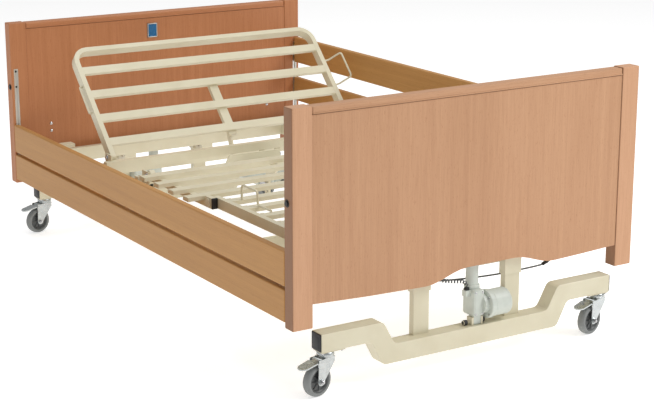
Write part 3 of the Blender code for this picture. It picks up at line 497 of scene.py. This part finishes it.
def make_wheel(corner):
    """A grey tyre with a rounded tread and a ribbed dark hub."""
    middle = centre_of(f"castor_{corner}_wheel")
    bm = bmesh.new()
    half = [(0.0365, 0.0105), (0.0375, 0.0135), (0.0400, 0.0148), (0.0440, 0.0143), (0.0475, 0.0120),
            (0.0493, 0.0085), (WHEEL_RADIUS, 0.0040)]
    add_turned(bm, [(0.0365, 0.0), *half, *[(radius, -far) for radius, far in reversed(half)], (0.0365, 0.0)],
               middle, AXLE, 48)
    tyre = piece(f"castor_{corner}_tyre", bm, RUBBER)
    placed(tyre, f"castor_{corner}_wheel", "grey_rubber", f"castor_{corner}_wheel")
    bm = bmesh.new()
    half = [(0.0, 0.0140), (0.0085, 0.0140), (0.0105, 0.0125), (0.0120, 0.0080), (0.0290, 0.0072),
            (0.0310, 0.0105), (0.0335, 0.0125), (0.0362, 0.0125), (0.0364, 0.0100)]
    add_turned(bm, half + [(radius, -far) for radius, far in reversed(half)], middle, AXLE, 40)
    for turn in range(8):
        matrix = (Matrix.Translation(middle) @ AXLE.to_track_quat("Z", "Y").to_matrix().to_4x4()
                  @ Matrix.Rotation(turn * math.pi / 4, 4, "Z"))
        for face in (-1, 1):
            add_block(bm, (0.010, -0.0012, face * 0.0060), (0.0305, 0.0012, face * 0.0102), 0.0004, matrix, 1)
    hub = piece(f"castor_{corner}_hub", bm, HUB)
    placed(hub, f"castor_{corner}_wheel", "black_plastic")


def make_castor_fittings(corner, base, stem):
    """Axle nuts, the outside of the ball race, and the bolts that hold the plate to the beam."""
    middle = centre_of(f"castor_{corner}_wheel")
    bm = bmesh.new()
    for face in (-1, 1):
        seat = middle + AXLE * face * 0.0245
        add_turned(bm, [(0.0, 0.0), (0.0085, 0.0), (0.0085, 0.0012), (0.0, 0.0012)], seat, AXLE * face, 24)
        add_turned(bm, [(0.0, 0.0010), (0.0066, 0.0010), (0.0066, 0.0052), (0.0055, 0.0062), (0.0, 0.0062)],
                   seat, AXLE * face, 6)
        add_turned(bm, [(0.0, 0.0060), (0.0034, 0.0060), (0.0030, 0.0084), (0.0, 0.0086)],
                   seat, AXLE * face, 16)
    placed(piece(f"castor_{corner}_axle_nuts", bm, STEEL), f"castor_{corner}_fork", "steel")
    bm = bmesh.new()
    add_turned(bm, [(0.010, 0.1215), (0.0245, 0.1215), (0.0270, 0.1235), (0.0275, 0.1275), (0.0262, 0.1285),
                    (0.0262, 0.1300), (0.0275, 0.1310), (0.0270, 0.1345), (0.0250, 0.1368), (0.010, 0.1372),
                    (0.010, 0.1215)], (stem.x, stem.y, 0.0), UP, 40)
    placed(piece(f"castor_{corner}_race", bm, ZINC), f"castor_{corner}_fork", "zinc")
    bm = bmesh.new()
    outward = 1.0 if stem.x > 0 else -1.0
    for dx in (-0.049, 0.0215):
        for dy in (-0.018, 0.018):
            seat = (stem.x + outward * dx, stem.y + dy, 0.1380)
            add_turned(bm, [(0.0, 0.0), (0.0062, 0.0), (0.0062, -0.0008), (0.0050, -0.0010),
                            (0.0050, -0.0040), (0.0042, -0.0048), (0.0, -0.0048)], seat, UP, 6)
    placed(piece(f"castor_{corner}_plate_bolts", bm, STEEL), base, "steel")


def make_castors():
    """Detail on the four castors."""
    for end, end_side in ENDS:
        for side, way in SIDES:
            corner = f"{end}_{side}"
            make_wheel(corner)
            make_castor_fittings(corner, f"{end}_base", Vector((way * STEM_X, end_side * STEM_Y, 0.0)))


# ---------------------------------------------------------------- undercarriages and lift motors


def make_beam_caps(end, end_side):
    """Black plugs in the two ends of a castor beam."""
    beam_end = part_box(f"castor_beam_{end}")[1][0]
    middle_y = end_side * STEM_Y
    for side, way in SIDES:
        bm = bmesh.new()
        add_block(bm, (way * (beam_end - 0.001), middle_y - 0.0268, 0.1428),
                  (way * (beam_end + 0.0035), middle_y + 0.0268, 0.1992), 0.0028, segments=3)
        add_block(bm, (way * (beam_end + 0.0030), middle_y - 0.0170, 0.1530),
                  (way * (beam_end + 0.0042), middle_y + 0.0170, 0.1890), 0.0006)
        placed(piece(f"beam_cap_{end}_{side}", bm, BLACK), f"{end}_base", "black_plastic")


def make_motor_details(end, end_side):
    """Bands on the motor's drum, housing screws, clevis knobs, tube seal and collar."""
    body = f"{end}_base"
    rod_y, near, far = (1.0580, 1.0375, 1.1000) if end == "foot" else (1.0975, 1.0600, 1.1200)
    axis = along(end_side, 1.0)
    drum = corner_of(end_side, 0.0, 1.083, 0.180)
    bm = bmesh.new()
    for start, radius in ((0.0812, 0.0455), (0.1370, 0.0444)):
        add_turned(bm, [(0.036, start), (radius - 0.0006, start), (radius, start + 0.0008),
                        (radius, start + 0.0022), (radius - 0.0006, start + 0.0030),
                        (0.036, start + 0.0030), (0.036, start)],
                   drum, axis, 56)
    placed(piece(f"motor_bands_{end}", bm, MOTOR), body, "actuator_grey")
    bm = bmesh.new()
    for turn in range(4):
        angle = math.radians(45.0 + 90.0 * turn)
        place = drum + Vector((0.0, 0.0400 * math.cos(angle), 0.0400 * math.sin(angle)))
        add_turned(bm, [(0.0, 0.0600), (0.0036, 0.0600), (0.0036, 0.0625), (0.0, 0.0625)], place, axis, 12)
    for x in (0.0165, 0.0435):
        for z in (0.156, 0.227):
            for y, way in ((far, 1.0), (near, -1.0)):
                add_turned(bm, [(0.0, -0.001), (0.0034, -0.001), (0.0034, 0.0006), (0.0026, 0.0016),
                                (0.0012, 0.0016), (0.0012, 0.0006), (0.0, 0.0006)],
                           corner_of(end_side, x, y, z), (0.0, end_side * way, 0.0), 16)
    placed(piece(f"motor_screws_{end}", bm, STEEL), body, "steel")
    bm = bmesh.new()
    for x, way in ((-0.0075, -1.0), (0.0478, 1.0)):
        add_turned(bm, [(0.0, 0.0), (0.0084, 0.0), (0.0090, 0.0014), (0.0090, 0.0110), (0.0080, 0.0132),
                        (0.0056, 0.0138 if way > 0 else 0.0152), (0.0, 0.0138 if way > 0 else 0.0155)],
                   corner_of(end_side, x, 1.0835, 0.130), along(end_side, way), 28)
    placed(piece(f"clevis_knobs_{end}", bm, BLACK), body, "black_plastic")
    bm = bmesh.new()
    tube = corner_of(end_side, 0.030, rod_y, 0.0)
    add_turned(bm, [(0.0105, 0.6885), (0.0212, 0.6885), (0.0226, 0.6905), (0.0226, 0.6985), (0.0212, 0.7005),
                    (0.0125, 0.7020), (0.0105, 0.7020), (0.0105, 0.6885)], tube, UP, 40)
    placed(piece(f"lift_seal_{end}", bm, BLACK), body, "black_plastic")
    bm = bmesh.new()
    add_turned(bm, [(0.0200, 0.2350), (0.0245, 0.2350), (0.0255, 0.2365), (0.0255, 0.2440), (0.0240, 0.2465),
                    (0.0215, 0.2480), (0.0200, 0.2480), (0.0200, 0.2350)], tube, UP, 40)
    placed(piece(f"lift_collar_{end}", bm, MOTOR), body, "actuator_grey")


# ---------------------------------------------------------------- cables

HANGING_Y = -1.0175
CURLY_KNOTS = [
    (0.000, -1.0700, 0.2403), (0.000, -1.0700, 0.2450), (0.000, -1.0700, 0.2500),
    (-0.012, -1.0695, 0.2630), (-0.046, -1.0650, 0.2690), (-0.088, -1.0620, 0.2780),
    (-0.117, -1.0600, 0.2960), (-0.125, -1.0540, 0.3150), (-0.125, -1.0450, 0.3160),
    (-0.125, -1.0403, 0.3160)]
HANGING_KNOTS = [
    (-0.100, HANGING_Y, 0.2925), (-0.100, HANGING_Y, 0.2810), (-0.100, HANGING_Y, 0.2780),
    (-0.092, HANGING_Y, 0.2680), (-0.060, HANGING_Y, 0.2610), (0.040, HANGING_Y, 0.2520),
    (0.160, HANGING_Y, 0.2460), (0.270, HANGING_Y, 0.2460), (0.360, HANGING_Y, 0.2500),
    (0.392, HANGING_Y, 0.2660), (0.400, HANGING_Y, 0.2780), (0.400, HANGING_Y, 0.2810),
    (0.400, HANGING_Y, 0.2925)]


def resampled(points, count):
    """The same path with evenly spaced points."""
    steps = [(second - first).length for first, second in zip(points, points[1:])]
    total = sum(steps)
    result = []
    index = 0
    passed = 0.0
    for number in range(count):
        goal = total * number / (count - 1)
        while index < len(steps) - 1 and passed + steps[index] < goal:
            passed += steps[index]
            index += 1
        result.append(points[index].lerp(points[index + 1], min((goal - passed) / steps[index], 1.0)))
    return result


def make_curly_lead():
    """A coiled lead round its centreline, straight at both ends."""
    turns = 16
    per_turn = 14
    count = turns * per_turn + 1
    line = resampled(smooth_route(CURLY_KNOTS, 12), count)
    points = []
    side = Vector((1.0, 0.0, 0.0))
    for number, place in enumerate(line):
        ahead = (line[min(number + 1, count - 1)] - line[max(number - 1, 0)]).normalized()
        side = (side - ahead * side.dot(ahead)).normalized()
        angle = 2 * math.pi * number / per_turn
        share = min(number, count - 1 - number) / (1.5 * per_turn)
        reach = 0.0050 * min(share, 1.0)
        points.append(place + reach * (side * math.cos(angle) + ahead.cross(side) * math.sin(angle)))
    bm = bmesh.new()
    add_tube(bm, points, 0.0020, 8)
    lead = piece("curly_lead", bm, CABLE)
    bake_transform(lead)
    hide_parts("curly_cable")


def make_cable_fittings():
    """The hanging lead with its connector and clips, and the boots at both leads' ends."""
    bm = bmesh.new()
    add_tube(bm, smooth_route(HANGING_KNOTS, 8), 0.0028, 12)
    placed(piece("hanging_lead", bm, CABLE), "bed_frame", "cable_grey", "frame_cable")
    bm = bmesh.new()
    start, end = Vector((0.352, HANGING_Y, 0.2493)), Vector((0.384, HANGING_Y, 0.2620))
    add_turned(bm, [(0.0, 0.0), (0.0045, 0.0), (0.0058, 0.0020), (0.0058, 0.0140), (0.0066, 0.0150),
                    (0.0066, 0.0230), (0.0050, 0.0260), (0.0034, 0.0330), (0.0, 0.0335)],
               start, end - start, 20)
    for x in (-0.100, 0.400):
        add_turned(bm, [(0.0030, 0.2785), (0.0050, 0.2785), (0.0085, 0.2850), (0.0090, 0.2925),
                        (0.0030, 0.2925), (0.0030, 0.2785)], (x, HANGING_Y, 0.0), UP, 20)
    placed(piece("lead_connector", bm, BLACK), "bed_frame", "black_plastic")
    bm = bmesh.new()
    add_turned(bm, [(0.0, 0.0), (0.0088, 0.0), (0.0092, 0.0012), (0.0088, 0.0060), (0.0070, 0.0075),
                    (0.0040, 0.0080), (0.0, 0.0080)], (0.0, -1.0700, 0.2345), UP, 24)
    placed(piece("curly_boot_motor", bm, BLACK), "foot_base", "black_plastic")
    bm = bmesh.new()
    add_turned(bm, [(0.0, 0.0), (0.0100, 0.0), (0.0104, 0.0015), (0.0098, 0.0080), (0.0070, 0.0100),
                    (0.0, 0.0102)],
               (-0.125, -1.0310, 0.3160), (0.0, -1.0, 0.0), 24)
    placed(piece("curly_boot_frame", bm, BLACK), "bed_frame", "black_plastic")


# ---------------------------------------------------------------- hardware on the frame and the boards

HINGE_Z = 0.437
BACK_HINGE_Y = 0.430
THIGH_HINGE_Y = 0.100
KNEE_Y = -0.348
BUTTON_Z = 0.613
TRACK_X = 0.645
SLAT_OFFSETS = (0.070, 0.180, 0.290, 0.400)


def add_bolt(bm, place, axis):
    """A washer with a hexagon head on it."""
    add_turned(bm, [(0.0, -0.0004), (0.0105, -0.0004), (0.0108, 0.0004), (0.0105, 0.0014), (0.0, 0.0014)],
               place, axis, 28)
    add_turned(bm, [(0.0, 0.0012), (0.0075, 0.0012), (0.0075, 0.0052), (0.0064, 0.0064), (0.0, 0.0064)],
               place, axis, 6)


def make_hinge_bolts():
    """Bolts on the platform's hinges, and the black plugs in the thigh tubes' open ends."""
    bm = bmesh.new()
    for _, way in SIDES:
        for y in (BACK_HINGE_Y, THIGH_HINGE_Y):
            add_bolt(bm, (way * 0.5485, y, HINGE_Z), (way, 0.0, 0.0))
    placed(piece("hinge_bolts", bm, STEEL), "bed_frame", "steel")
    bm = bmesh.new()
    for _, way in SIDES:
        add_turned(bm, [(0.0, 0.0), (0.0135, 0.0), (0.0145, 0.0010), (0.0138, 0.0034), (0.0090, 0.0046),
                        (0.0, 0.0048)],
                   (way * 0.5400, KNEE_Y, HINGE_Z), (way, 0.0, 0.0), 32)
    placed(piece("knee_bosses", bm, CREAM), "thigh_section", "cream_paint")
    for side, way in SIDES:
        bm = bmesh.new()
        add_block(bm, (way * 0.5192, -0.3765, 0.4182), (way * 0.5408, -0.3692, 0.4558), 0.0022, segments=3)
        placed(piece(f"thigh_plug_{side}", bm, BLACK), "thigh_section", "black_plastic")
        bm = bmesh.new()
        add_block(bm, (way * 0.490, -0.9530, 0.4200), (way * 0.5175, -0.9478, 0.4540), 0.0018, segments=3)
        placed(piece(f"calf_corner_{side}", bm, CREAM), "calf_section", "cream_paint")


def make_board_hardware():
    """Rail release rings, track plugs, panel screws, cap beads and the badge's rim."""
    for end, end_side in ENDS:
        bm = bmesh.new()
        for _, way in SIDES:
            add_turned(bm, [(0.0086, -0.001), (0.0120, -0.001), (0.0122, 0.0006), (0.0112, 0.0014),
                            (0.0090, 0.0014), (0.0086, -0.001)],
                       (way * 0.665, end_side * 1.072, BUTTON_Z), (way, 0.0, 0.0), 32)
        placed(piece(f"button_rings_{end}", bm, BLACK), "bed_frame", "black_plastic")
        bm = bmesh.new()
        for _, way in SIDES:
            for z in (0.6745, BUTTON_Z, 0.256):
                add_turned(bm, [(0.0, -0.0005), (0.0045, -0.0005), (0.0045, 0.0003), (0.0040, 0.0006),
                                (0.0, 0.0006)],
                           (way * TRACK_X, end_side * 1.0604, z), (0.0, -end_side, 0.0), 24)
        placed(piece(f"track_knobs_{end}", bm, BLACK), "bed_frame", "black_plastic")
        low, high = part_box(f"cap_{end}")
        bm = bmesh.new()
        for y in (low[1], high[1]):
            add_block(bm, (low[0] + 0.0005, y - 0.0012, low[2] + 0.0015),
                      (high[0] - 0.0005, y + 0.0012, low[2] + 0.0062), 0.0011)
        placed(piece(f"cap_bead_{end}", bm, node_material(f"cap_{end}")), "bed_frame", "beech")
    bm = bmesh.new()
    for x in (-0.504, 0.504):
        for z in (0.421, 0.450):
            add_turned(bm, [(0.0, -0.0005), (0.0062, -0.0005), (0.0060, 0.0012), (0.0036, 0.0026),
                            (0.0, 0.0030)],
                       (x, 1.0570, z), (0.0, -1.0, 0.0), 24)
    placed(piece("panel_screws", bm, STEEL), "bed_frame", "steel")
    low, high = (Vector(corner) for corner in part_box("badge"))
    bm = bmesh.new()
    for a, b in (((low.x, low.z), (high.x, low.z + 0.0035)), ((low.x, high.z - 0.0035), (high.x, high.z)),
                 ((low.x, low.z), (low.x + 0.0035, high.z)), ((high.x - 0.0035, low.z), (high.x, high.z))):
        add_block(bm, (a[0], low.y - 0.0009, a[1]), (b[0], low.y + 0.0008, b[1]), 0.0006)
    placed(piece("badge_rim", bm, ALUMINIUM), "bed_frame", "aluminium")


def make_drive_details():
    """The platform drive's plugs, ribs round its housing, and a bar along its cover plate's edge."""
    bm = bmesh.new()
    for x in (0.050, 0.078, 0.130):
        add_turned(bm, [(0.0, 0.0), (0.0095, 0.0), (0.0095, 0.0100), (0.0070, 0.0115), (0.0070, 0.0230),
                        (0.0040, 0.0260), (0.0, 0.0260)], (x, 0.1605, 0.322), (0.0, -1.0, 0.0), 20)
    placed(piece("drive_plugs", bm, BLACK), "bed_frame", "black_plastic")
    bm = bmesh.new()
    for y in (0.200, 0.260, 0.320):
        add_block(bm, (0.0212, y - 0.0020, 0.3040), (0.1908, y + 0.0020, 0.3522), 0.0006, segments=1)
    placed(piece("drive_ribs", bm, MOTOR), "bed_frame", "actuator_grey")
    bm = bmesh.new()
    add_tube(bm, [(-0.1260, 0.3020, 0.3660), (-0.1000, 0.3020, 0.4150), (0.1200, 0.3020, 0.4130)], 0.0028, 8)
    placed(piece("cover_edge", bm, CREAM), "bed_frame", "cream_paint")


def make_slat_ends():
    """Moulded seats where the calf section's slats meet its tubes, and caps on the thigh section's slats."""
    bm = bmesh.new()
    for offset in (*SLAT_OFFSETS, 0.510):
        for _, way in SIDES:
            add_block(bm, (way * 0.4825, KNEE_Y - offset - 0.0205, 0.4385),
                      (way * 0.4990, KNEE_Y - offset + 0.0205, 0.4556), 0.0014)
    placed(piece("slat_seats_calf", bm, CREAM), "calf_section", "cream_paint")
    bm = bmesh.new()
    for offset in SLAT_OFFSETS:
        for _, way in SIDES:
            add_block(bm, (way * 0.5900, THIGH_HINGE_Y - offset - 0.0196, 0.4394),
                      (way * 0.6010, THIGH_HINGE_Y - offset + 0.0196, 0.4548), 0.0012)
    placed(piece("slat_caps_thigh", bm, CREAM), "thigh_section", "cream_paint")


make_studio()
dress_nodes()
make_castors()
for END_NAME, END_SIDE in ENDS:
    make_beam_caps(END_NAME, END_SIDE)
    make_motor_details(END_NAME, END_SIDE)
make_curly_lead()
make_cable_fittings()
make_hinge_bolts()
make_board_hardware()
make_slat_ends()
make_drive_details()
